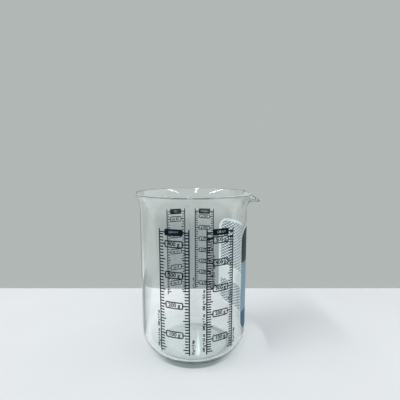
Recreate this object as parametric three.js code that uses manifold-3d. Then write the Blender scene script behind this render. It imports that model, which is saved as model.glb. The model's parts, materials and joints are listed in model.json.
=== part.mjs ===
// A glass measuring cup: a blown beaker with a pouring spout, four fired-on scales and a paper label.
// Millimetres, +Z up. The origin is the middle of the base and the spout points along +X.
// Angles round the wall start at the front, which is -Y, and grow towards +X.
import * as THREE from "three";
import { mergeVertices } from "three/addons/utils/BufferGeometryUtils.js";
import Module from "manifold-3d";

// Beaker. Its lip is the top of the wall bent outwards: a little all round, further at the spout.
const bodyDiameter = 88;
const cupHeight = 135;
const wallThickness = 2;
const baseThickness = 3;
const heelRadius = 20.5;
const lipLength = 14;
const rimTurnDegrees = 35;

// Spout. There the lip turns further, past level, in a tighter arc that ends in a flat tongue.
const spoutWidth = 30;
const spoutLevel = 6;
const spoutArc = 11.2;
const spoutTongue = 4;
const spoutTurnDegrees = 102;

// Skins on the outside of the wall.
const skinClearance = 0.2;
const inkThickness = 0.3;
const paperThickness = 0.25;

// Lines of a scale. The long ticks reach to the number frames.
const railWidth = 0.9;
const tickWidth = 0.9;
const shortTick = 3.3;
const longTick = 4.4;
const frameLine = 0.85;
const frameCorner = 1.2;
const plateHeight = 4.8;
const backPlateHeight = 5.8;
const plateCorner = 0.8;
const plateGap = 0.5;

// Paper label, below the spout. Its drop is measured from the start of the lip.
const labelDrop = 13.7;
const labelBottom = 24;
const labelCorner = 10;

// Heights of the scales: their drops from the start of the lip, their ends above the base, the heights
// at which they would read zero, and the rise from tick to tick.
const frontDrop = 9.7;
const backDrop = 5.2;
const frontBottom = 16.6;
const backRightBottom = 34.5;
const backLeftBottom = 31;
const scaleZero = 9.4;
const backRightZero = 6.3;
const frontLeftPitch = 2.292;
const frontRightPitch = 1.945;
const backRightPitch = 2.256;
const backLeftPitch = 2.668;
const frameHeight = 5.4;
const smallFrameHeight = 4.4;

// What lies on the wall, from the left of the front towards +X. Each starts a gap after the one before
// it, and gap and span are degrees round the wall. perLong and perFrame count a scale's ticks from one
// long tick, or one number frame, to the next.
const firstEdgeDegrees = -32.7;
const wallSkins = [
  {
    name: "front_left_scale", gap: 0, span: 29.7, drop: frontDrop, bottom: frontBottom,
    zero: scaleZero, pitch: frontLeftPitch, perLong: 5, perFrame: 10, plateHeight, frameHeight,
  },
  {
    name: "front_right_scale", gap: 16.7, span: 28.8, drop: frontDrop, bottom: frontBottom,
    zero: scaleZero, pitch: frontRightPitch, perLong: 5, perFrame: 10, plateHeight, frameHeight,
  },
  { name: "side_label", gap: 16.5, span: 87 },
  {
    name: "back_right_scale", gap: 8.4, span: 24.5, drop: backDrop, bottom: backRightBottom,
    zero: backRightZero, pitch: backRightPitch, perLong: 5, perFrame: 5, plateHeight: backPlateHeight,
    frameHeight: smallFrameHeight,
  },
  {
    name: "back_left_scale", gap: 13.8, span: 24.7, drop: backDrop, bottom: backLeftBottom,
    zero: scaleZero, pitch: backLeftPitch, perLong: 3, perFrame: 6, plateHeight: backPlateHeight,
    frameHeight,
  },
];

// Facets of the curved faces.
const wallFacets = 72;
const skinFacets = 48;
const heelSteps = 6;
const lipSteps = 10;
const lipRoundSteps = 4;
const cornerSteps = 2;
const labelCornerSteps = 5;

const wasm = await Module();
wasm.setup();

const wallRadius = bodyDiameter / 2;
const lipRound = wallThickness / 2;
const rimTurn = THREE.MathUtils.degToRad(rimTurnDegrees);
const spoutTurn = THREE.MathUtils.degToRad(spoutTurnDegrees);
const rimBend = lipLength / rimTurn;
const lipStart = cupHeight - lipRound - rimBend * Math.sin((lipLength - lipRound) / rimBend);

// A closed geometry as a solid that can be joined and cut.
function solidOf(geometry) {
  geometry.deleteAttribute("normal");
  geometry.deleteAttribute("uv");
  const merged = mergeVertices(geometry);
  return new wasm.Manifold(
    new wasm.Mesh({
      numProp: 3,
      vertProperties: merged.attributes.position.array,
      triVerts: new Uint32Array(merged.index.array),
    }),
  );
}

function geometryOf(solid) {
  const { vertProperties, triVerts } = solid.getMesh();
  const geometry = new THREE.BufferGeometry();
  geometry.setAttribute("position", new THREE.BufferAttribute(vertProperties, 3));
  geometry.setIndex(new THREE.BufferAttribute(triVerts, 1));
  geometry.computeVertexNormals();
  return geometry;
}

// Half of the beaker's section, with the lip still straight: up the outside and down the inside.
function beakerProfile() {
  const insideRadius = wallRadius - wallThickness;
  const insideHeel = heelRadius - baseThickness;
  const lipEnd = lipStart + lipLength - lipRound;
  const quarter = Math.PI / 2;
  const line = (r, from, to) =>
    new THREE.LineCurve(new THREE.Vector2(r, from), new THREE.Vector2(r, to)).getPoints(lipSteps);
  const arc = (r, z, radius, from, to, steps) =>
    new THREE.ArcCurve(r, z, radius, from, to, to < from).getPoints(steps);
  return [
    new THREE.Vector2(0, 0),
    ...arc(wallRadius - heelRadius, heelRadius, heelRadius, -quarter, 0, heelSteps),
    ...line(wallRadius, lipStart, lipEnd),
    ...arc(wallRadius - lipRound, lipEnd, lipRound, 0, Math.PI, lipRoundSteps).slice(1, -1),
    ...line(insideRadius, lipEnd, lipStart),
    ...arc(insideRadius - insideHeel, baseThickness + insideHeel, insideHeel, 0, -quarter, heelSteps),
    new THREE.Vector2(0, baseThickness),
  ];
}

// Bends the lip outwards along its own length, so the glass keeps its thickness.
function bendLip(geometry) {
  const position = geometry.attributes.position;
  const middle = wallRadius - lipRound;
  const spoutHalf = spoutWidth / 2 / wallRadius;
  const levelHalf = spoutLevel / 2 / wallRadius;
  const straight = lipLength - lipRound;
  for (let i = 0; i < position.count; i++) {
    const along = position.getZ(i) - lipStart;
    if (along <= 0) {
      continue;
    }
    const angle = Math.atan2(position.getY(i), position.getX(i));
    const outwards = Math.hypot(position.getX(i), position.getY(i)) - middle;
    const offSpout = (Math.abs(angle) - levelHalf) / (spoutHalf - levelHalf);
    const share = (1 + Math.cos(Math.PI * THREE.MathUtils.clamp(offSpout, 0, 1))) / 2;
    const turn = THREE.MathUtils.lerp(rimTurn, spoutTurn, share);
    const arc = THREE.MathUtils.lerp(lipLength, spoutArc, share);
    const bend = arc / turn;
    const drawn = (arc + spoutTongue * share * share - lipRound) / straight;
    const path = Math.min(along, straight) * drawn + Math.max(along - straight, 0);
    const turned = Math.min(path / bend, turn);
    const tongue = Math.max(path - arc, 0);
    const radius = middle + bend - (bend - outwards) * Math.cos(turned) + tongue * Math.sin(turn);
    const z = lipStart + (bend - outwards) * Math.sin(turned) + tongue * Math.cos(turn);
    position.setXYZ(i, radius * Math.cos(angle), radius * Math.sin(angle), z);
  }
}

function beaker() {
  const geometry = new THREE.LatheGeometry(beakerProfile(), wallFacets).rotateX(Math.PI / 2);
  bendLip(geometry);
  geometry.computeVertexNormals();
  return geometry;
}

// A layer of a given thickness over the whole heel and wall, up to the lip.
function wallLayer(thickness) {
  const lowest = -Math.PI / 3;
  const surface = (offset) => [
    ...new THREE.ArcCurve(
      wallRadius - heelRadius, heelRadius, heelRadius + offset, lowest, 0, false,
    ).getPoints(heelSteps),
    new THREE.Vector2(wallRadius + offset, lipStart),
  ];
  const outer = surface(skinClearance + thickness);
  const inner = surface(skinClearance).reverse();
  const profile = [...outer, ...inner, outer[0]];
  return solidOf(new THREE.LatheGeometry(profile, skinFacets).rotateX(Math.PI / 2));
}

// A drawing on the unrolled wall, x along the wall from the middle of its span and y up, as a solid
// that reaches from the cup's axis out through the wall.
function stencil(drawing, angle, steps) {
  const unrolled = wallRadius + skinClearance;
  const wrap = (point) => new THREE.Vector2(unrolled * Math.sin(point.x / unrolled), point.y);
  const { shape, holes } = drawing.extractPoints(steps);
  const flat = new THREE.Shape(shape.map(wrap));
  flat.holes = holes.map((hole) => new THREE.Path(hole.map(wrap)));
  const depth = 2 * wallRadius;
  const geometry = new THREE.ExtrudeGeometry(flat, { depth, bevelEnabled: false });
  return solidOf(geometry.rotateX(Math.PI / 2).rotateZ(angle));
}

function roundedOutline(outline, centre, width, height, corner) {
  const right = width / 2 - corner;
  const top = height / 2 - corner;
  const quarter = Math.PI / 2;
  outline.absarc(right, centre + top, corner, 0, quarter, false);
  outline.absarc(-right, centre + top, corner, quarter, 2 * quarter, false);
  outline.absarc(-right, centre - top, corner, 2 * quarter, 3 * quarter, false);
  outline.absarc(right, centre - top, corner, 3 * quarter, 4 * quarter, false);
  return outline.closePath();
}

function bar(left, right, low, high) {
  return new THREE.Shape([
    new THREE.Vector2(left, low),
    new THREE.Vector2(right, low),
    new THREE.Vector2(right, high),
    new THREE.Vector2(left, high),
  ]);
}

// One tick from each rail towards the middle of the scale.
function tickPair(rail, length, z) {
  const low = z - tickWidth / 2;
  return [
    bar(-rail, length - rail, low, low + tickWidth),
    bar(rail - length, rail, low, low + tickWidth),
  ];
}

function numberFrame(width, height, z) {
  const frame = roundedOutline(new THREE.Shape(), z, width, height, frameCorner);
  const inside = roundedOutline(
    new THREE.Path(), z, width - 2 * frameLine, height - 2 * frameLine, frameCorner - frameLine / 2,
  );
  frame.holes.push(inside);
  return frame;
}

// The drawing of a scale: two rails, a heading plate, and ticks and number frames at its marks.
function scaleDrawing(scale) {
  const rail = (wallRadius * THREE.MathUtils.degToRad(scale.span)) / 2;
  const top = lipStart - scale.drop;
  const plate = top - scale.plateHeight / 2;
  const frameWidth = 2 * (rail - longTick);
  const highestFrame = plate - scale.plateHeight / 2 - plateGap - scale.frameHeight / 2;
  const frameSide = scale.frameHeight / 2 - frameCorner;
  const reach = longTick + frameLine / 2;
  const drawing = [
    bar(-rail - railWidth / 2, -rail + railWidth / 2, scale.bottom, top),
    bar(rail - railWidth / 2, rail + railWidth / 2, scale.bottom, top),
    roundedOutline(new THREE.Shape(), plate, frameWidth, scale.plateHeight, plateCorner),
    ...tickPair(rail, reach, plate),
  ];
  const first = Math.ceil((scale.bottom + tickWidth - scale.zero) / scale.pitch);
  const last = Math.floor((plate - scale.pitch / 2 - scale.zero) / scale.pitch);
  for (let mark = first; mark <= last; mark++) {
    const z = scale.zero + mark * scale.pitch;
    if (mark % scale.perFrame === 0) {
      const centre = Math.min(z, highestFrame);
      drawing.push(numberFrame(frameWidth, scale.frameHeight, centre));
      drawing.push(...tickPair(rail, reach, Math.min(z, centre + frameSide)));
    } else {
      drawing.push(...tickPair(rail, mark % scale.perLong === 0 ? longTick : shortTick, z));
    }
  }
  return drawing;
}

function labelDrawing(label) {
  const width = wallRadius * THREE.MathUtils.degToRad(label.span);
  const top = lipStart - labelDrop;
  const height = top - labelBottom;
  return roundedOutline(new THREE.Shape(), labelBottom + height / 2, width, height, labelCorner);
}

const cup = new THREE.Group();
cup.name = "measuring_cup";

function addPiece(name, geometry, look) {
  const piece = new THREE.Mesh(geometry, new THREE.MeshStandardMaterial(look));
  piece.name = name;
  cup.add(piece);
}

const clearGlass = { color: 0xdfe9e5, roughness: 0.04, metalness: 0, transparent: true, opacity: 0.35 };
const firedInk = { color: 0x15171d, roughness: 0.45, metalness: 0 };
const printedPaper = { color: 0x4d7896, roughness: 0.6, metalness: 0 };

addPiece("glass_beaker", beaker(), clearGlass);

const inkLayer = wallLayer(inkThickness);
const paperLayer = wallLayer(paperThickness);
let edge = firstEdgeDegrees;
for (const skin of wallSkins) {
  const angle = THREE.MathUtils.degToRad(edge + skin.gap + skin.span / 2);
  if (skin.name === "side_label") {
    const paper = stencil(labelDrawing(skin), angle, labelCornerSteps);
    addPiece(skin.name, geometryOf(paper.intersect(paperLayer)), printedPaper);
  } else {
    const lines = scaleDrawing(skin).map((drawing) => stencil(drawing, angle, cornerSteps));
    const print = lines.reduce((joined, line) => joined.add(line));
    addPiece(skin.name, geometryOf(print.intersect(inkLayer)), firedInk);
  }
  edge += skin.gap + skin.span;
}

export default cup;
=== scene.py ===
import json
import math

import bmesh
import bpy
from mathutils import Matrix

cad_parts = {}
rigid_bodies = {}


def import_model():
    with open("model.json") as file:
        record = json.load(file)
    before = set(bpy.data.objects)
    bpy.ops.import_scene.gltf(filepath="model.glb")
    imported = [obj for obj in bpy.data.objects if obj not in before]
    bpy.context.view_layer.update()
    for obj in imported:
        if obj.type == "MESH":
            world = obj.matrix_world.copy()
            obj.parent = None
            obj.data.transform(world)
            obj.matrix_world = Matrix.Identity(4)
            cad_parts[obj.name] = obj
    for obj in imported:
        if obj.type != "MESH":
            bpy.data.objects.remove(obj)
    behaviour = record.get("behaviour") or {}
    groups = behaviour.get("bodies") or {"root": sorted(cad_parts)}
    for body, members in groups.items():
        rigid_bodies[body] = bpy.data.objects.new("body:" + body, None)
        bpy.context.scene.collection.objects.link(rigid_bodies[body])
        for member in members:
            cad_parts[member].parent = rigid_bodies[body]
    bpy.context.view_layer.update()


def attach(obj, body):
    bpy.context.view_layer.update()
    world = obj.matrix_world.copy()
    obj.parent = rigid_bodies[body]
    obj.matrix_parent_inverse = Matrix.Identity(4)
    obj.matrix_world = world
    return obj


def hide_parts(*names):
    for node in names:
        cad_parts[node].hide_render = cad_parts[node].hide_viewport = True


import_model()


# Glass beaker
# Blown in one piece from clear borosilicate glass: a heavy base, a round heel and an even wall.
# While it is hot the lip is bent outwards, furthest at the pouring spout, and melted round.
MM = 0.001
WALL_RADIUS = 44 * MM
CUP_HEIGHT = 135 * MM
WALL = 2 * MM
BASE = 3 * MM
HEEL = 20.5 * MM
LIP_LENGTH = 14 * MM
LIP_ROUND = WALL / 2
LIP_BEVEL = 0.99 * LIP_ROUND
LIP_STRAIGHT = LIP_LENGTH - LIP_ROUND
RIM_TURN = math.radians(35)
SPOUT_TURN = math.radians(102)
SPOUT_HALF = 15 * MM / WALL_RADIUS
LEVEL_HALF = 3 * MM / WALL_RADIUS
SPOUT_ARC = 11.2 * MM
SPOUT_TONGUE = 4 * MM
RIM_BEND = LIP_LENGTH / RIM_TURN
LIP_START = CUP_HEIGHT - LIP_ROUND - RIM_BEND * math.sin(LIP_STRAIGHT / RIM_BEND)
BLANK_TOP = LIP_START + LIP_LENGTH
ROUND_THE_WALL = 360
HEEL_STEPS = 24
LIP_STEPS = 26
LIP_END_STEPS = 6
TINY = 0.01 * MM
FACING = 0.9
X_AXIS, Z_AXIS = 0, 2


def start_piece():
    """Go back to object mode with nothing selected, so that operators act on new work only."""
    if bpy.context.object and bpy.context.object.mode != "OBJECT":
        bpy.ops.object.mode_set(mode="OBJECT")
    bpy.ops.object.select_all(action="DESELECT")


def choose(kind, test):
    """In edit mode, select only the faces or edges or vertices that pass a test."""
    mesh = bpy.context.edit_object.data
    bpy.ops.mesh.select_mode(type=kind)
    shape = bmesh.from_edit_mesh(mesh)
    parts = {"FACE": shape.faces, "EDGE": shape.edges, "VERT": shape.verts}[kind]
    wanted = [part for part in parts if test(part)]
    bpy.ops.mesh.select_all(action="DESELECT")
    for part in wanted:
        part.select_set(True)
    shape.select_flush_mode()
    bmesh.update_edit_mesh(mesh)


def ring(radius, height):
    """A test for the edges of a level ring round the cup's axis."""
    def test(edge):
        return all(abs(v.co.xy.length - radius) < TINY and abs(v.co.z - height) < TINY for v in edge.verts)
    return test


def round_off(radius, steps):
    """Round the edges that are selected."""
    bpy.ops.mesh.bevel(offset=radius, segments=steps, profile=0.5, affect="EDGES", clamp_overlap=False)


def cut_across(places, axis):
    """Cut the whole mesh at some places along an axis, so that it can follow a curve."""
    for place in places:
        spot, normal = [0, 0, 0], [0, 0, 0]
        spot[axis], normal[axis] = place, 1
        bpy.ops.mesh.select_all(action="SELECT")
        bpy.ops.mesh.bisect(plane_co=spot, plane_no=normal)


def bend_lip(piece):
    """Bend the straight lip outwards along its own length, so the glass keeps its thickness.

    At the spout it turns further, past level, in a tighter arc that ends in a flat tongue."""
    middle = WALL_RADIUS - LIP_ROUND
    for vertex in piece.data.vertices:
        x, y, z = vertex.co
        along = z - LIP_START
        if along > 0:
            angle = math.atan2(y, x)
            outwards = math.hypot(x, y) - middle
            off_spout = min(max((abs(angle) - LEVEL_HALF) / (SPOUT_HALF - LEVEL_HALF), 0), 1)
            share = (1 + math.cos(math.pi * off_spout)) / 2
            turn = RIM_TURN + (SPOUT_TURN - RIM_TURN) * share
            arc = LIP_LENGTH + (SPOUT_ARC - LIP_LENGTH) * share
            bend = arc / turn
            drawn = (arc + SPOUT_TONGUE * share ** 2 - LIP_ROUND) / LIP_STRAIGHT
            path = min(along, LIP_STRAIGHT) * drawn + max(along - LIP_STRAIGHT, 0)
            turned = min(path / bend, turn)
            tongue = max(path - arc, 0)
            radius = middle + bend - (bend - outwards) * math.cos(turned) + tongue * math.sin(turn)
            height = LIP_START + (bend - outwards) * math.sin(turned) + tongue * math.cos(turn)
            vertex.co = (radius * math.cos(angle), radius * math.sin(angle), height)


start_piece()
bpy.ops.mesh.primitive_cylinder_add(vertices=ROUND_THE_WALL, radius=WALL_RADIUS, depth=BLANK_TOP,
                                    end_fill_type="NGON", location=(0, 0, BLANK_TOP / 2))
beaker = bpy.context.object
beaker.name = "clear_beaker"
bpy.ops.object.transform_apply(location=True, rotation=True, scale=True)
bpy.ops.object.mode_set(mode="EDIT")
choose("FACE", lambda face: face.normal.z > FACING)
bpy.ops.mesh.inset(thickness=WALL)
bpy.ops.mesh.extrude_region_move(TRANSFORM_OT_translate={"value": (0, 0, BASE - BLANK_TOP)})
choose("EDGE", ring(WALL_RADIUS, 0))
round_off(HEEL, HEEL_STEPS)
choose("EDGE", ring(WALL_RADIUS - WALL, BASE))
round_off(HEEL - BASE, HEEL_STEPS)
choose("EDGE", lambda edge: ring(WALL_RADIUS, BLANK_TOP)(edge) or ring(WALL_RADIUS - WALL, BLANK_TOP)(edge))
round_off(LIP_BEVEL, LIP_END_STEPS)
cut_across([LIP_START + LIP_STRAIGHT * step / LIP_STEPS for step in range(LIP_STEPS)], Z_AXIS)
bpy.ops.object.mode_set(mode="OBJECT")
bend_lip(beaker)
bpy.ops.object.shade_smooth()


def new_material(name):
    """A material with an empty node tree but for its output, and the piece's own coordinates in it."""
    material = bpy.data.materials.new(name)
    material.use_nodes = True
    tree = material.node_tree
    tree.nodes.clear()
    tree.nodes.new("ShaderNodeOutputMaterial")
    return material, tree, node(tree, "TexCoord").outputs["Object"]


def node(tree, kind, **settings):
    """Add a node, with its settings and the plain values of its inputs."""
    made = tree.nodes.new("ShaderNode" + kind)
    for key, value in settings.items():
        key = key.replace("_", " ") if key.replace("_", " ") in made.inputs else key
        if key in made.inputs:
            made.inputs[key].default_value = value
        else:
            setattr(made, key, value)
    return made


def feed(tree, socket, value):
    """Link a socket, or set it to a plain number or colour."""
    if isinstance(value, (int, float)):
        socket.default_value = value
    elif isinstance(value, tuple):
        socket.default_value = (*value, 1)
    else:
        tree.links.new(value, socket)


def parts_of(tree, vector):
    """The three parts of a place or direction."""
    made = node(tree, "SeparateXYZ")
    tree.links.new(vector, made.inputs["Vector"])
    return made.outputs


def calc(tree, operation, first, second=0):
    """One sum on two values, each a socket or a number."""
    made = node(tree, "Math", operation=operation)
    feed(tree, made.inputs[0], first)
    feed(tree, made.inputs[1], second)
    return made.outputs[0]


def times(tree, *values):
    """The product of some values."""
    product = values[0]
    for value in values[1:]:
        product = calc(tree, "MULTIPLY", product, value)
    return product


def most(tree, *values):
    """The largest of some values."""
    largest = values[0]
    for value in values[1:]:
        largest = calc(tree, "MAXIMUM", largest, value)
    return largest


def distance(tree, first, second):
    """The length of the slanting side, from two square sides."""
    squares = [calc(tree, "POWER", side, 2) for side in (first, second)]
    return calc(tree, "SQRT", calc(tree, "ADD", *squares))


def off(tree, value, middle):
    """How far a value lies from a middle, to either side."""
    return calc(tree, "ABSOLUTE", calc(tree, "SUBTRACT", value, middle))


def eased(tree, value, start, end, low=0.0, high=1.0):
    """A smooth step from one value to another."""
    made = node(tree, "MapRange", interpolation_type="SMOOTHSTEP", From_Min=start, From_Max=end,
                To_Min=low, To_Max=high)
    tree.links.new(value, made.inputs["Value"])
    return made.outputs["Result"]


def mix(tree, amount, first, second, kind="MIX"):
    """Mix two colours, each a socket or plain red, green and blue."""
    made = node(tree, "MixRGB", blend_type=kind)
    for name, value in (("Fac", amount), ("Color1", first), ("Color2", second)):
        feed(tree, made.inputs[name], value)
    return made.outputs["Color"]


NOISE_LOW, NOISE_HIGH = 0.3, 0.7


def make_unevenness():
    """Noise that all the finishes share, plain and spread between two values."""
    group = bpy.data.node_groups.new("unevenness", "ShaderNodeTree")
    group.interface.new_socket("Place", in_out="INPUT", socket_type="NodeSocketVector")
    for name in ("Scale", "Detail", "Low", "High"):
        group.interface.new_socket(name, in_out="INPUT", socket_type="NodeSocketFloat")
    for name in ("Noise", "Value"):
        group.interface.new_socket(name, in_out="OUTPUT", socket_type="NodeSocketFloat")
    given = group.nodes.new("NodeGroupInput").outputs
    result = group.nodes.new("NodeGroupOutput").inputs
    noise = node(group, "TexNoise")
    spread = node(group, "MapRange", From_Min=NOISE_LOW, From_Max=NOISE_HIGH)
    plain = noise.outputs["Fac"]
    for source, socket in ((given["Place"], noise.inputs["Vector"]), (given["Scale"], noise.inputs["Scale"]),
                           (given["Detail"], noise.inputs["Detail"]), (plain, spread.inputs["Value"]),
                           (given["Low"], spread.inputs["To Min"]), (given["High"], spread.inputs["To Max"]),
                           (plain, result["Noise"]), (spread.outputs["Result"], result["Value"])):
        group.links.new(source, socket)
    return group


unevenness = make_unevenness()


def uneven(tree, place, scale, detail, low=0.0, high=1.0):
    """Place the shared noise in a material with its own values."""
    made = node(tree, "Group", node_tree=unevenness)
    tree.links.new(place, made.inputs["Place"])
    for name, value in (("Scale", scale), ("Detail", detail), ("Low", low), ("High", high)):
        made.inputs[name].default_value = value
    return made.outputs


def relief(tree, place, shader, scale, detail, strength, depth):
    """Fine unevenness of a surface, as a bump on a shader."""
    made = node(tree, "Bump", Strength=strength, Distance=depth)
    tree.links.new(uneven(tree, place, scale, detail)["Noise"], made.inputs["Height"])
    tree.links.new(made.outputs["Normal"], shader.inputs["Normal"])


GLASS_COLOUR = (0.997, 1, 0.998, 1)
THICK_EDGE_TINT, TINT_DENSITY = (0.55, 0.85, 0.76, 1), 12.0
clear_glass, tree, place = new_material("clear_glass")
spot = parts_of(tree, place)
glass = node(tree, "BsdfPrincipled", IOR=1.5, Transmission_Weight=1, Base_Color=GLASS_COLOUR)
relief(tree, place, glass, scale=45, detail=1, strength=1.0, depth=0.006 * MM)

# hands leave faint smears on the upper wall
SMEAR_ROUGHNESS = 0.04
patches = uneven(tree, place, scale=60, detail=5)["Noise"]
smear = times(tree, eased(tree, patches, 0.60, 0.75, high=SMEAR_ROUGHNESS),
              eased(tree, spot["Z"], 50 * MM, 75 * MM))
tree.links.new(smear, glass.inputs["Roughness"])

# light passes on its way to other surfaces, less where it meets the glass at a slant,
# and the thick base gathers some of it: a painted pool of light, brightest in one streak
PASSED_SQUARE, PASSED_SLANTING = (0.97, 0.98, 0.975), (0.74, 0.78, 0.78)
BASE_GATHERED, STREAK_GATHERED = (1.12, 1.12, 1.12), (1.7, 1.7, 1.7)
STREAK_MIDDLE = 3.7 * MM
path = node(tree, "LightPath").outputs
slant = node(tree, "LayerWeight", Blend=0.5).outputs["Facing"]
shadow = mix(tree, calc(tree, "POWER", slant, 2), PASSED_SQUARE, PASSED_SLANTING)
in_base = times(tree, eased(tree, distance(tree, spot["X"], spot["Y"]), 26 * MM, 18 * MM),
                eased(tree, spot["Z"], 1.2 * MM, 0.8 * MM))
streak_half = eased(tree, spot["Y"], 22 * MM, -14 * MM, low=0.2 * MM, high=1.7 * MM)
across_streak = calc(tree, "DIVIDE", off(tree, spot["X"], STREAK_MIDDLE), streak_half)
in_streak = times(tree, eased(tree, across_streak, 1.05, 0.9), in_base)
gathered = mix(tree, in_streak, mix(tree, in_base, shadow, BASE_GATHERED), STREAK_GATHERED)

# light that is caught in the glass for long is let out again, dimmed
CAUGHT_AFTER = 3.5
CAUGHT_CLEAR, CAUGHT_DIM, CAUGHT_EDGE = (1, 1, 1, 1), (0.32, 0.35, 0.34, 1), (0.93, 0.96, 0.95, 1)
caught = node(tree, "ValToRGB")
ramp = caught.color_ramp.elements
ramp[0].position, ramp[0].color = 0.2, CAUGHT_CLEAR
ramp[1].position, ramp[1].color = 0.55, CAUGHT_EDGE
for steep in (0.28, 0.45):
    ramp.new(steep).color = CAUGHT_DIM
tree.links.new(slant, caught.inputs["Fac"])
passing = most(tree, path["Is Shadow Ray"], path["Is Diffuse Ray"])
through = node(tree, "BsdfTransparent")
tree.links.new(mix(tree, passing, caught.outputs["Color"], gathered), through.inputs["Color"])
let_out = calc(tree, "GREATER_THAN", path["Ray Depth"], CAUGHT_AFTER)
surface = node(tree, "MixShader")
tree.links.new(most(tree, passing, let_out), surface.inputs["Fac"])
tree.links.new(glass.outputs["BSDF"], surface.inputs[1])
tree.links.new(through.outputs["BSDF"], surface.inputs[2])
tint = node(tree, "VolumeAbsorption", Density=TINT_DENSITY, Color=THICK_EDGE_TINT)
output = tree.nodes["Material Output"]
tree.links.new(surface.outputs["Shader"], output.inputs["Surface"])
tree.links.new(tint.outputs["Volume"], output.inputs["Volume"])
beaker.data.materials.append(clear_glass)
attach(beaker, "root")
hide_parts("glass_beaker")


# Front left scale
# Grams in steps of ten, printed in dark ceramic ink and burnt into the outside of the wall.
# Two rails carry ticks, numbers stand in round frames, and the heading is left bare in a solid plate.
INK = 0.08 * MM
RAIL_WIDTH = 0.9 * MM
TICK_WIDTH = 0.9 * MM
SHORT_TICK = 3.3 * MM
LONG_TICK = 4.4 * MM
FRAME_LINE = 0.85 * MM
FRAME_CORNER = 1.2 * MM
FRAME_CORNER_STEPS = 5
PLATE_HEIGHT = 4.8 * MM
PLATE_CORNER = 0.8 * MM
PLATE_CORNER_STEPS = 4
PLATE_GAP = 0.5 * MM
TICK_OVERLAP = FRAME_LINE / 4
FRONT_DROP = 9.7 * MM
FRONT_BOTTOM = 16.6 * MM
SCALE_ZERO = 9.4 * MM
FRAME_HEIGHT = 5.4 * MM
HEADING_SHARE = 0.19
HEADING_CUT = 4 * INK
NUMBER_BOLD = 0.1 * MM
RUN_LETTERS = 2.5 * MM
RUN_BOLD = 0.12 * MM
LETTER_STEPS = 3
WRAP_STEP = 1.5 * MM
HEEL_WRAP_STEPS = 5


def bar(left, right, low, high, thick=INK):
    """Add a flat bar to the drawing, upright in the plane of the paper."""
    bpy.ops.mesh.primitive_cube_add(size=1, location=((left + right) / 2, 0, (low + high) / 2),
                                    scale=(right - left, thick, high - low))


def round_corners(radius, steps):
    """Round the four corners of the bar that was just added."""
    shape = bmesh.from_edit_mesh(bpy.context.edit_object.data)
    fresh = {edge.index for edge in shape.edges
             if edge.select and abs(edge.verts[0].co.y - edge.verts[1].co.y) > TINY}
    choose("EDGE", lambda edge: edge.index in fresh)
    round_off(radius, steps)


def lettering(words, size, x, z, upright=False, thick=INK, bold=NUMBER_BOLD):
    """Set a word or number as a flat mesh, centred on a place in the drawing."""
    start_piece()
    bpy.ops.object.text_add(location=(0, 0, 0))
    letters = bpy.context.object
    letters.data.body = words
    letters.data.size = size
    letters.data.align_x, letters.data.align_y = "CENTER", "CENTER"
    letters.data.extrude = thick / 2
    letters.data.resolution_u = LETTER_STEPS
    letters.data.offset = bold
    bpy.ops.object.convert(target="MESH")
    letters = bpy.context.object
    turn = math.pi / 2 if upright else 0
    letters.rotation_euler = (math.pi / 2, -turn, 0)
    letters.location = (x, 0, z)
    bpy.ops.object.transform_apply(location=True, rotation=True, scale=True)
    return letters


def wall_radius(z):
    """The outer radius of the glass at a height: the wall, or the heel below it."""
    return WALL_RADIUS if z >= HEEL else WALL_RADIUS - HEEL + math.sqrt(HEEL ** 2 - (HEEL - z) ** 2)


def wrap_on_wall(piece, degrees):
    """Lay a flat drawing round the glass, its middle at an angle from the front towards the spout."""
    for vertex in piece.data.vertices:
        x, y, z = vertex.co
        turn = math.radians(degrees) + x / WALL_RADIUS
        radius = wall_radius(z) - y
        vertex.co = (radius * math.sin(turn), -radius * math.cos(turn), z)


def join_to(piece, others):
    """Join finished bits to a piece."""
    start_piece()
    for other in others:
        other.select_set(True)
    piece.select_set(True)
    bpy.context.view_layer.objects.active = piece
    bpy.ops.object.join()


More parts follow.
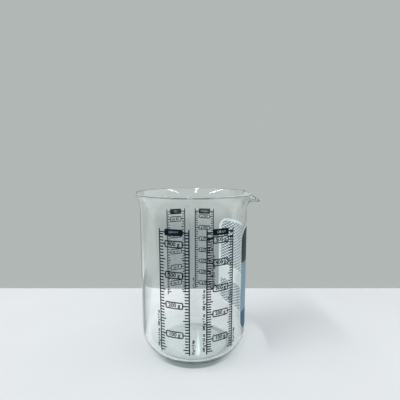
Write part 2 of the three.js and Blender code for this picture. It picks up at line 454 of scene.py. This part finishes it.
def print_scale(name, first_edge, span, drop, bottom, zero, pitch, per_long, per_frame, plate_height,
                frame_height, heading, number, number_size, runs, short_tick=SHORT_TICK,
                long_tick=LONG_TICK):
    """Draw a scale flat with its heading, numbers and small runs of conversions, and wrap it on.

    Its first edge, its span and the place of a run are degrees round the wall from the front."""
    rail = WALL_RADIUS * math.radians(span) / 2
    top = LIP_START - drop
    plate = top - plate_height / 2
    frame_width = 2 * (rail - long_tick)
    highest = plate - plate_height / 2 - PLATE_GAP - frame_height / 2
    first = math.ceil((bottom + TICK_WIDTH - zero) / pitch)
    last = math.floor((plate - pitch / 2 - zero) / pitch)
    half = TICK_WIDTH / 2
    end = RAIL_WIDTH / 2 - rail

    # the left rail, and its lowest tick copied upwards
    start_piece()
    bar(-rail - RAIL_WIDTH / 2, end, bottom, top)
    scale = bpy.context.object
    scale.name = name
    bpy.ops.object.transform_apply(location=True, rotation=True, scale=True)
    bpy.ops.object.mode_set(mode="EDIT")
    lowest = zero + first * pitch
    bar(end, short_tick - rail, lowest - half, lowest + half)
    for _ in range(first, last):
        bpy.ops.mesh.duplicate_move(TRANSFORM_OT_translate={"value": (0, 0, pitch)})
    long_marks = [zero + mark * pitch for mark in range(first, last + 1) if mark % per_long == 0]

    # the ends of the long ticks pulled out, the plate's tick, and all of it mirrored
    def long_end(face):
        middle = face.calc_center_median()
        return (face.normal.x > FACING and abs(middle.x - short_tick + rail) < TINY
                and any(abs(middle.z - z) < TINY for z in long_marks))
    choose("FACE", long_end)
    bpy.ops.transform.translate(value=(long_tick - short_tick + TICK_OVERLAP, 0, 0))
    for z in long_marks:
        lower = highest + frame_height / 2 - FRAME_CORNER - z
        if lower < 0:
            choose("VERT", lambda v: v.co.x > end - TINY and abs(v.co.z - z) < half + TINY)
            bpy.ops.transform.translate(value=(0, 0, lower))
    bar(end, long_tick - rail + TICK_OVERLAP, plate - half, plate + half)
    bpy.ops.object.mode_set(mode="OBJECT")
    mirror = scale.modifiers.new("both_rails", "MIRROR")
    bpy.ops.object.modifier_apply(modifier=mirror.name)

    # one number frame, and its copies
    framed = [mark for mark in range(first, last + 1) if mark % per_frame == 0]
    heights = [min(zero + mark * pitch, highest) for mark in framed]
    bpy.ops.object.mode_set(mode="EDIT")
    bar(-frame_width / 2, frame_width / 2, heights[0] - frame_height / 2, heights[0] + frame_height / 2)
    round_corners(FRAME_CORNER, FRAME_CORNER_STEPS)
    bpy.ops.mesh.select_linked()
    shape = bmesh.from_edit_mesh(scale.data)
    flats = {face.index for face in shape.faces if face.select and abs(face.normal.y) > FACING}
    choose("FACE", lambda face: face.index in flats)
    bpy.ops.mesh.inset(thickness=FRAME_LINE)
    bpy.ops.mesh.bridge_edge_loops()
    bpy.ops.mesh.select_linked()
    for lower, upper in zip(heights, heights[1:]):
        bpy.ops.mesh.duplicate_move(TRANSFORM_OT_translate={"value": (0, 0, upper - lower)})
    bpy.ops.object.mode_set(mode="OBJECT")

    # the solid plate, with its heading cut out of it
    start_piece()
    bar(-frame_width / 2, frame_width / 2, plate - plate_height / 2, plate + plate_height / 2)
    solid = bpy.context.object
    bpy.ops.object.transform_apply(location=True, rotation=True, scale=True)
    bpy.ops.object.mode_set(mode="EDIT")
    bpy.ops.mesh.select_all(action="SELECT")
    round_corners(PLATE_CORNER, PLATE_CORNER_STEPS)
    bpy.ops.object.mode_set(mode="OBJECT")
    words = lettering(heading, HEADING_SHARE * frame_width, 0, plate, thick=HEADING_CUT, bold=0)
    start_piece()
    solid.select_set(True)
    bpy.context.view_layer.objects.active = solid
    cut = solid.modifiers.new("bare_letters", "BOOLEAN")
    cut.operation, cut.solver, cut.object = "DIFFERENCE", "EXACT", words
    bpy.ops.object.modifier_apply(modifier=cut.name)
    bpy.data.objects.remove(words)

    # numbers, and the small upright runs beside the rails
    bits = [solid]
    for mark, z in zip(framed, heights):
        bits.append(lettering(number(mark), number_size, 0, z))
    for degrees, low, high, words in runs:
        x = WALL_RADIUS * math.radians(degrees - first_edge - span / 2)
        bits.append(lettering(words, RUN_LETTERS, x, (low + high) / 2, upright=True, bold=RUN_BOLD))
    join_to(scale, bits)

    # wrapped on, after cuts that let it follow the glass
    bpy.ops.object.mode_set(mode="EDIT")
    steps = math.ceil(2 * rail / WRAP_STEP)
    cut_across([-rail + 2 * rail * step / steps for step in range(1, steps)], X_AXIS)
    if bottom < HEEL:
        heel_step = (HEEL - bottom) / HEEL_WRAP_STEPS
        cut_across([bottom + heel_step * step for step in range(1, HEEL_WRAP_STEPS + 1)], Z_AXIS)
    bpy.ops.object.mode_set(mode="OBJECT")
    wrap_on_wall(scale, first_edge + span / 2)
    return scale


# the ink covers a little unevenly and has a fine grain
THIN_INK, FULL_INK = (0.003, 0.009, 0.022), (0.001, 0.004, 0.012)
fired_ink, tree, place = new_material("fired_ink")
ink = node(tree, "BsdfPrincipled", Specular_IOR_Level=0.12)
cover = mix(tree, uneven(tree, place, scale=900, detail=3)["Value"], FULL_INK, THIN_INK)
tree.links.new(cover, ink.inputs["Base Color"])
satin = uneven(tree, place, scale=500, detail=2, low=0.3, high=0.5)
tree.links.new(satin["Value"], ink.inputs["Roughness"])
relief(tree, place, ink, scale=2500, detail=2, strength=0.6, depth=0.01 * MM)
tree.links.new(ink.outputs["BSDF"], tree.nodes["Material Output"].inputs["Surface"])


def finish_print(scale, node_name):
    """Give a print its ink and its place in the part."""
    scale.data.materials.clear()
    scale.data.materials.append(fired_ink)
    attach(scale, "root")
    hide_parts(node_name)


finish_print(print_scale(
    "front_left_print", first_edge=-32.7, span=29.7, drop=FRONT_DROP, bottom=FRONT_BOTTOM, zero=SCALE_ZERO,
    pitch=2.292 * MM, per_long=5, per_frame=10, plate_height=PLATE_HEIGHT, frame_height=FRAME_HEIGHT,
    heading="GRAM", number=lambda mark: f"{mark * 10} g", number_size=4.2 * MM,
    runs=[(-35.4, 18.7 * MM, 50 * MM, "100 g = 3.5 oz   200 g = 7 oz"),
          (0.6, 17 * MM, 29 * MM, "10 g = 2 tsp")]),
    "front_left_scale")


# Front right scale
# Grams in finer steps, printed and burnt in with the other scales. The highest number stands
# close under the heading plate, a little below its own tick.
finish_print(print_scale(
    "front_right_print", first_edge=13.7, span=28.8, drop=FRONT_DROP, bottom=FRONT_BOTTOM, zero=SCALE_ZERO,
    pitch=1.945 * MM, per_long=5, per_frame=10, plate_height=PLATE_HEIGHT, frame_height=FRAME_HEIGHT,
    heading="GRAM", number=lambda mark: f"{mark * 10} g", number_size=4.0 * MM,
    runs=[(11, 17.7 * MM, 69 * MM, "100 g = 3.5 oz    200 g = 7 oz    300 g = 10.5 oz"),
          (45.2, 21 * MM, 31 * MM, "10 g = 2 tsp")]),
    "front_right_scale")


# Side label
# A paper label glued to the wall under the spout. Its face is printed in plain bands of blue,
# and its back, which is seen through the glass, is white with a screen of blue-grey dots.
LABEL_EDGE, LABEL_SPAN = 59, 87
LABEL_TOP = LIP_START - 13.7 * MM
LABEL_BOTTOM = 24 * MM
LABEL_HEIGHT = LABEL_TOP - LABEL_BOTTOM
LABEL_WIDTH = WALL_RADIUS * math.radians(LABEL_SPAN)
LABEL_CORNER = 10 * MM
LABEL_CORNER_STEPS = 12
PAPER = 0.12 * MM
PAPER_PRESS = 0.03 * MM
start_piece()
bar(-LABEL_WIDTH / 2, LABEL_WIDTH / 2, LABEL_BOTTOM, LABEL_TOP, PAPER)
label = bpy.context.object
label.name = "paper_label"
bpy.ops.object.transform_apply(location=True, rotation=True, scale=True)
bpy.ops.object.mode_set(mode="EDIT")
bpy.ops.mesh.select_all(action="SELECT")
round_corners(LABEL_CORNER, LABEL_CORNER_STEPS)
label_steps = math.ceil(LABEL_WIDTH / WRAP_STEP)
cut_across([LABEL_WIDTH * (step / label_steps - 0.5) for step in range(1, label_steps)], X_AXIS)
bpy.ops.object.mode_set(mode="OBJECT")
unrolled = label.data.uv_layers.new(name="unrolled")
for loop in label.data.loops:
    x, y, z = label.data.vertices[loop.vertex_index].co
    unrolled.data[loop.index].uv = (x / LABEL_WIDTH + 0.5, (z - LABEL_BOTTOM) / LABEL_HEIGHT)
for face in label.data.polygons:
    face.material_index = 1 if face.normal.y > FACING else 0
for vertex in label.data.vertices:
    vertex.co.y -= PAPER / 2 - PAPER_PRESS
wrap_on_wall(label, LABEL_EDGE + LABEL_SPAN / 2)

# the face: three bands, a little duller in places, on paper with a fine fibre
LOW_BLUE = (0.031, 0.105, 0.19, 1)
STEEL_LOW, STEEL_HIGH = (0.205, 0.37, 0.46, 1), (0.205, 0.355, 0.425, 1)
NAVY = (0.006, 0.022, 0.033, 1)
STEEL_START, NAVY_START, BAND_BLEND = 0.195, 0.675, 0.01
RUBBED = (0.85, 0.87, 0.9)
printed_paper, tree, place = new_material("printed_paper")
paper = node(tree, "BsdfPrincipled", Specular_IOR_Level=0.2)
on_label = parts_of(tree, node(tree, "UVMap", uv_map="unrolled").outputs["UV"])
bands = node(tree, "ValToRGB")
bands.color_ramp.interpolation = "EASE"
ramp = bands.color_ramp.elements
ramp[0].position, ramp[0].color = 0.0, LOW_BLUE
ramp[1].position, ramp[1].color = 1.0, NAVY
for up_label, colour in ((STEEL_START, LOW_BLUE), (STEEL_START + BAND_BLEND, STEEL_LOW),
                         (NAVY_START, STEEL_HIGH), (NAVY_START + BAND_BLEND, NAVY)):
    ramp.new(up_label).color = colour
tree.links.new(on_label["Y"], bands.inputs["Fac"])
wear = uneven(tree, place, scale=220, detail=4)["Value"]
tree.links.new(mix(tree, wear, bands.outputs["Color"], RUBBED, "MULTIPLY"), paper.inputs["Base Color"])
coating = uneven(tree, place, scale=600, detail=3, low=0.35, high=0.55)
tree.links.new(coating["Value"], paper.inputs["Roughness"])
relief(tree, place, paper, scale=1800, detail=3, strength=0.5, depth=0.02 * MM)
tree.links.new(paper.outputs["BSDF"], tree.nodes["Material Output"].inputs["Surface"])

# the back: dots on the slant, but for a bare margin all round and a bare band across
DOT_WIDTH, DOT_HEIGHT = 3.8 * MM, 1.9 * MM
DOT_OUTSIDE, DOT_INSIDE = 0.46, 0.34
DOT_SLANT = math.radians(45)
PAPER_WHITE, DOT_BLUE = (0.90, 0.93, 0.94), (0.085, 0.14, 0.20)
BARE_START, BARE_END, BARE_BLEND = 0.29, 0.47, 0.01
MARGIN_START, MARGIN_END = LABEL_CORNER - 2.8 * MM, LABEL_CORNER - 2.2 * MM
paper_back, tree, place = new_material("paper_back")
back = node(tree, "BsdfPrincipled")
unrolled_place = node(tree, "UVMap", uv_map="unrolled").outputs["UV"]
on_label = parts_of(tree, unrolled_place)
screen = node(tree, "Mapping", Scale=(LABEL_WIDTH / DOT_WIDTH, LABEL_HEIGHT / DOT_HEIGHT, 1),
              Rotation=(0, 0, DOT_SLANT))
tree.links.new(unrolled_place, screen.inputs["Vector"])
dots = node(tree, "TexVoronoi", Scale=1.0, Randomness=0.0)
tree.links.new(screen.outputs["Vector"], dots.inputs["Vector"])


def past_straight(fraction, length):
    """How far a place on the label lies past the straight part of its edge, in metres."""
    from_middle = times(tree, off(tree, fraction, 0.5), length)
    return most(tree, calc(tree, "SUBTRACT", from_middle, length / 2 - LABEL_CORNER), 0)


from_corner = distance(tree, past_straight(on_label["X"], LABEL_WIDTH),
                       past_straight(on_label["Y"], LABEL_HEIGHT))
bare_band = times(tree, eased(tree, on_label["Y"], BARE_START, BARE_START + BARE_BLEND),
                  eased(tree, on_label["Y"], BARE_END, BARE_END - BARE_BLEND))
dotted = times(tree, eased(tree, dots.outputs["Distance"], DOT_OUTSIDE, DOT_INSIDE),
               eased(tree, from_corner, MARGIN_END, MARGIN_START), calc(tree, "SUBTRACT", 1, bare_band))
tree.links.new(mix(tree, dotted, PAPER_WHITE, DOT_BLUE), back.inputs["Base Color"])
bare_paper = uneven(tree, place, scale=600, detail=3, low=0.5, high=0.7)
tree.links.new(bare_paper["Value"], back.inputs["Roughness"])
tree.links.new(back.outputs["BSDF"], tree.nodes["Material Output"].inputs["Surface"])
label.data.materials.append(printed_paper)
label.data.materials.append(paper_back)
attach(label, "root")
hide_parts("side_label")


# Back right scale
# Grams in steps of five with a number at every fifth tick, printed like the front scales but
# in smaller frames. It is read through the cup from the front, so its numbers show mirrored there.
BACK_DROP = 5.2 * MM
BACK_PLATE = 5.8 * MM
SMALL_FRAME_HEIGHT = 4.4 * MM
BACK_TICKS = {"short_tick": 2.6 * MM, "long_tick": 3.45 * MM}
finish_print(print_scale(
    "back_right_print", first_edge=154.4, span=24.5, drop=BACK_DROP, bottom=34.5 * MM, zero=6.3 * MM,
    pitch=2.256 * MM, per_long=5, per_frame=5, plate_height=BACK_PLATE, frame_height=SMALL_FRAME_HEIGHT,
    heading="GRAM", number=lambda mark: f"{mark * 5} g", number_size=3.2 * MM,
    runs=[(152.5, 39 * MM, 69.5 * MM, "50 g = 1.8 oz    100 g = 3.5 oz"),
          (181.2, 35 * MM, 44 * MM, "5 g = 1 tsp")],
    **BACK_TICKS),
    "back_right_scale")


# Back left scale
# Ounces with a long tick for every one and a half, printed and burnt in with the other scales.
# It stands in line with the front left scale, so the two show one behind the other.
finish_print(print_scale(
    "back_left_print", first_edge=192.7, span=24.7, drop=BACK_DROP, bottom=31 * MM, zero=SCALE_ZERO,
    pitch=2.668 * MM, per_long=3, per_frame=6, plate_height=BACK_PLATE, frame_height=FRAME_HEIGHT,
    heading="OZ", number=lambda mark: f"{mark // 2} oz", number_size=3.6 * MM, runs=[], **BACK_TICKS),
    "back_left_scale")


# Table top and backdrop
# The cup stands on a plain white table. Behind it, plain grey shows only to a viewer in front.
# Both have painted dark and bright patches of shade and reflection that only the glass sees, which give it
# its edges.
TABLE_SIZE = 4.0
TABLE_DROP = 0.1 * MM
TABLE_DULL, TABLE_PALE = (0.745, 0.765, 0.78), (0.785, 0.805, 0.82)
TABLE_LIT = (0.90, 0.92, 0.935)
TABLE_DARK = (0.025, 0.055, 0.045)
UNDER_HEEL_STRENGTH, IN_LIP_STRENGTH = 0.75, 0.8
HEEL_RING = 34.2 * MM
HEEL_SHADE = (0.43, 0.46, 0.465)


def ray_kinds(tree):
    """Light Path, the rays that were mirrored, and those turned back once inside the glass."""
    path = node(tree, "LightPath").outputs
    mirrored = most(tree, calc(tree, "SUBTRACT", path["Is Glossy Ray"], path["Is Transmission Ray"]), 0)
    turned_back = times(tree, path["Is Transmission Ray"],
                        calc(tree, "GREATER_THAN", path["Glossy Depth"], 0.5),
                        calc(tree, "LESS_THAN", path["Transmission Depth"], 2.5))
    return path, mirrored, turned_back


start_piece()
bpy.ops.mesh.primitive_plane_add(size=TABLE_SIZE, location=(0, 0, -TABLE_DROP))
table_top = bpy.context.object
table_top.name = "table_top"
white_table, tree, place = new_material("white_table")
spot = parts_of(tree, place)
path, mirrored, turned_back = ray_kinds(tree)
from_axis = distance(tree, spot["X"], spot["Y"])
matt = node(tree, "BsdfPrincipled", Roughness=0.55, Specular_IOR_Level=0)
tone = mix(tree, uneven(tree, place, scale=8, detail=2)["Value"], TABLE_DULL, TABLE_PALE)

# painted light: the table is brighter where it is seen through the left of the glass
painted_light_left = times(tree, path["Is Transmission Ray"], eased(tree, spot["X"], 0.0, -25 * MM))
tone = mix(tree, painted_light_left, tone, TABLE_LIT)

# painted shade and reflections: darker in reflections of the near side and in the lip,
# behind the cup's edges and under its heel
aside = calc(tree, "DIVIDE", spot["X"], spot["Y"])
near = times(tree, eased(tree, aside, -0.20, -0.12), eased(tree, aside, 0.36, 0.26),
             eased(tree, spot["Y"], -0.12, -0.17))
under_flare = times(tree, eased(tree, path["Ray Length"], 0.14, 0.15), eased(tree, spot["Y"], -0.07, -0.09))
far_front = eased(tree, spot["Y"], -0.45, -0.6)
in_mirror = times(tree, most(tree, near, under_flare, far_front), mirrored)
behind = times(tree, eased(tree, from_axis, 0.045, 0.05), eased(tree, spot["Y"], 0.0, 0.015),
               eased(tree, off(tree, spot["X"], 0), 0.24, 0.20))
beneath = times(tree, eased(tree, from_axis, HEEL_RING + 0.4 * MM, HEEL_RING - 0.6 * MM),
                most(tree, turned_back, mirrored), UNDER_HEEL_STRENGTH)
in_lip = times(tree, eased(tree, spot["Y"], -0.05, -0.16), turned_back, IN_LIP_STRENGTH)
at_edges = most(tree, times(tree, behind, turned_back), beneath, in_lip)
tone = mix(tree, most(tree, in_mirror, at_edges), tone, TABLE_DARK)

# painted shadow: the heel keeps light off the table close under it
beside = eased(tree, spot["Y"], -35 * MM, -20 * MM)
fade_width = calc(tree, "ADD", times(tree, beside, 7 * MM), 1 * MM)
fade_start = calc(tree, "SUBTRACT", HEEL_RING, times(tree, beside, 4.5 * MM))
past_start = calc(tree, "DIVIDE", calc(tree, "SUBTRACT", from_axis, fade_start), fade_width)
seen_plain = times(tree, path["Is Camera Ray"], eased(tree, past_start, 1.0, 0.0),
                   eased(tree, spot["Y"], 5 * MM, -12 * MM))
seen_bent = times(tree, path["Is Transmission Ray"], eased(tree, from_axis, 27 * MM, 30 * MM),
                  most(tree, eased(tree, spot["Y"], -10 * MM, -32 * MM),
                       eased(tree, spot["X"], -10 * MM, 15 * MM, low=0.15, high=0.6)))
seen_bent = times(tree, seen_bent, eased(tree, from_axis, HEEL_RING + 1 * MM, HEEL_RING))
tone = mix(tree, most(tree, seen_plain, seen_bent), tone, HEEL_SHADE, "MULTIPLY")
tree.links.new(tone, matt.inputs["Base Color"])
tree.links.new(matt.outputs["BSDF"], tree.nodes["Material Output"].inputs["Surface"])
table_top.data.materials.append(white_table)

BACKDROP_WIDTH, BACKDROP_HEIGHT, BACKDROP_AWAY = 2.4, 0.5, 0.125
GREY = (0.44, 0.475, 0.463)
SHADED_GREY, PALE_GREY = (0.315, 0.36, 0.375), (0.505, 0.545, 0.535)
PANE_WHITE, EDGE_SHADE_BLACK, GLEAM_WHITE = (0.85, 0.88, 0.88), (0.06, 0.075, 0.075), (1.1, 1.12, 1.12)
start_piece()
bpy.ops.mesh.primitive_plane_add(size=1, location=(0, BACKDROP_AWAY, BACKDROP_HEIGHT / 2),
                                 rotation=(math.pi / 2, 0, 0))
backdrop = bpy.context.object
backdrop.name = "backdrop"
backdrop.scale = (BACKDROP_WIDTH, BACKDROP_HEIGHT, 1)
bpy.ops.object.transform_apply(location=True, rotation=True, scale=True)
grey_paper, tree, place = new_material("grey_paper")
spot = parts_of(tree, place)
path, mirrored, turned_back = ray_kinds(tree)
aside = off(tree, spot["X"], 0)

# painted light and shade seen through the cup: a soft shade behind its middle, paler grey above,
# and a bright pane at one side
shade = times(tree, eased(tree, off(tree, spot["X"], 5 * MM), 65 * MM, 35 * MM),
              eased(tree, spot["Z"], 0.108, 0.072), path["Is Transmission Ray"])
tone = mix(tree, shade, GREY, SHADED_GREY)
upper = times(tree, eased(tree, spot["Z"], 0.085, 0.105), path["Is Transmission Ray"])
tone = mix(tree, upper, tone, PALE_GREY)
pane = times(tree, eased(tree, spot["X"], -0.115, -0.12), turned_back,
             eased(tree, spot["Z"], 0.06, 0.02, low=0.35))
tone = mix(tree, pane, tone, PANE_WHITE)

# painted shade: dark patches that show in the edges of the glass, and in reflections dark above them
# with a painted gleam that shows in the spout
close = eased(tree, aside, 0.118, 0.108)
left_edge_shade = times(tree, eased(tree, spot["X"], 0.03, 0.01), close, eased(tree, spot["Z"], 0.105, 0.095))
flare_edge_shade = times(tree, eased(tree, spot["X"], -0.11, -0.12), eased(tree, aside, 0.20, 0.19),
                   eased(tree, spot["Z"], 0.118, 0.126))
right_edge_shade = times(tree, eased(tree, spot["Z"], 0.081, 0.089), eased(tree, spot["Z"], 0.105, 0.095), close)
neck_edge_shade = times(tree, eased(tree, spot["X"], 0.09, 0.11), eased(tree, spot["X"], 0.25, 0.22),
                  eased(tree, spot["Z"], 0.085, 0.065))
edge_shade = times(tree, most(tree, left_edge_shade, flare_edge_shade, right_edge_shade, neck_edge_shade), turned_back)
high_up = times(tree, eased(tree, spot["Z"], 0.15, 0.17), mirrored)
gleam = times(tree, high_up, eased(tree, spot["X"], 0.035, 0.05))
dark = most(tree, calc(tree, "SUBTRACT", high_up, gleam), edge_shade)
tone = mix(tree, gleam, mix(tree, dark, tone, EDGE_SHADE_BLACK), GLEAM_WHITE)

# it shows only from the front, and only to the eye and to the glass
seen = most(tree, path["Is Camera Ray"], path["Is Transmission Ray"], path["Is Glossy Ray"])
from_front = calc(tree, "SUBTRACT", seen, node(tree, "NewGeometry").outputs["Backfacing"])
glow = node(tree, "Emission")
tree.links.new(tone, glow.inputs["Color"])
facing = node(tree, "MixShader")
tree.links.new(from_front, facing.inputs["Fac"])
tree.links.new(node(tree, "BsdfTransparent").outputs["BSDF"], facing.inputs[1])
tree.links.new(glow.outputs["Emission"], facing.inputs[2])
tree.links.new(facing.outputs["Shader"], tree.nodes["Material Output"].inputs["Surface"])
backdrop.data.materials.append(grey_paper)


# Light
# A plain room with a pale ceiling: soft light from all round, and three long ceiling strips.
# The strips light the cup as lamps. The glass doesn't see them: bright bars painted in the ceiling
# stand in for their reflections.
STRIP_HEIGHT = 3.25
STRIP_LENGTH = 3.0
STRIP_WIDTH = 0.35
ROOM_GREY, CEILING_WHITE, VIEWER_DARK = (0.48, 0.50, 0.50), (1.6, 1.63, 1.65), (0.05, 0.06, 0.07)
SOFT_LIGHT, CEILING_THROUGH_GLASS = (0.55, 0.565, 0.575), (0.12, 0.13, 0.13)
MIRRORED_STRIPS = ((-0.103, -0.77, 11), (-0.983, -0.6, 30), (0.855, -0.6, 11))
scene = bpy.context.scene
world = bpy.data.worlds.new("soft_room")
scene.world = world
world.use_nodes = True
tree = world.node_tree
tree.nodes.clear()
way = parts_of(tree, node(tree, "TexCoord").outputs["Generated"])
path = node(tree, "LightPath").outputs

# mirrored: a mid grey room, bright overhead, dark where the viewer stands
viewer = times(tree, eased(tree, off(tree, way["X"], -0.08), 0.20, 0.12), eased(tree, way["Y"], -0.3, -0.6),
               eased(tree, way["Z"], 0.6, 0.4))
ceiling = eased(tree, way["Z"], 0.3, 0.7)
overhead = times(tree, ceiling, eased(tree, way["Y"], -0.35, -0.15))
room = mix(tree, viewer, mix(tree, overhead, ROOM_GREY, CEILING_WHITE), VIEWER_DARK)
across_room = calc(tree, "DIVIDE", way["X"], way["Z"])
down_room = calc(tree, "DIVIDE", way["Y"], way["Z"])
bars = 0
for x, y, brightness in MIRRORED_STRIPS:
    bars = calc(tree, "ADD", times(tree, eased(tree, off(tree, across_room, x), 0.066, 0.054),
                                   eased(tree, off(tree, down_room, y), 0.53, 0.50), brightness), bars)
bars = times(tree, bars, path["Is Singular Ray"], calc(tree, "LESS_THAN", path["Transmission Depth"], 0.5),
             calc(tree, "GREATER_THAN", way["Z"], 0.2))
room = mix(tree, 1.0, room, bars, "ADD")

# soft light for matt surfaces, grey through the glass and to the eye
room = mix(tree, path["Is Glossy Ray"], SOFT_LIGHT, room)
room = mix(tree, path["Is Transmission Ray"], room, mix(tree, ceiling, GREY, CEILING_THROUGH_GLASS))
room = mix(tree, path["Is Camera Ray"], room, GREY)
soft_room = node(tree, "Background", Strength=1.0)
tree.links.new(room, soft_room.inputs["Color"])
tree.links.new(soft_room.outputs["Background"], node(tree, "OutputWorld").inputs["Surface"])


def ceiling_strip(name, x, y, watts):
    """A long lamp on the ceiling that runs from front to back."""
    data = bpy.data.lights.new(name, "AREA")
    data.shape = "RECTANGLE"
    data.size, data.size_y = STRIP_WIDTH, STRIP_LENGTH
    data.energy = watts
    made = bpy.data.objects.new(name, data)
    scene.collection.objects.link(made)
    made.location = (x, y, STRIP_HEIGHT)
    made.visible_glossy = False
    made.visible_transmission = False


ceiling_strip("strip_middle", -0.3, -2.25, 35)
ceiling_strip("strip_left", -2.875, -1.75, 101)
ceiling_strip("strip_right", 2.5, -1.75, 35)


# Camera
# Close in front of the cup and a little above its rim, as in the photograph,
# so that the rim shows as a flat ring and the base is seen from above.
eye = bpy.data.cameras.new("camera")
eye.sensor_width = 36
eye.lens = 27.9
eye.shift_y = 0.0301
camera = bpy.data.objects.new("camera", eye)
scene.collection.objects.link(camera)
camera.location = (0.005456, -0.25564, 0.156244)
camera.rotation_euler = (math.radians(81.49), 0, 0)
scene.camera = camera
scene.view_settings.view_transform = "Standard"
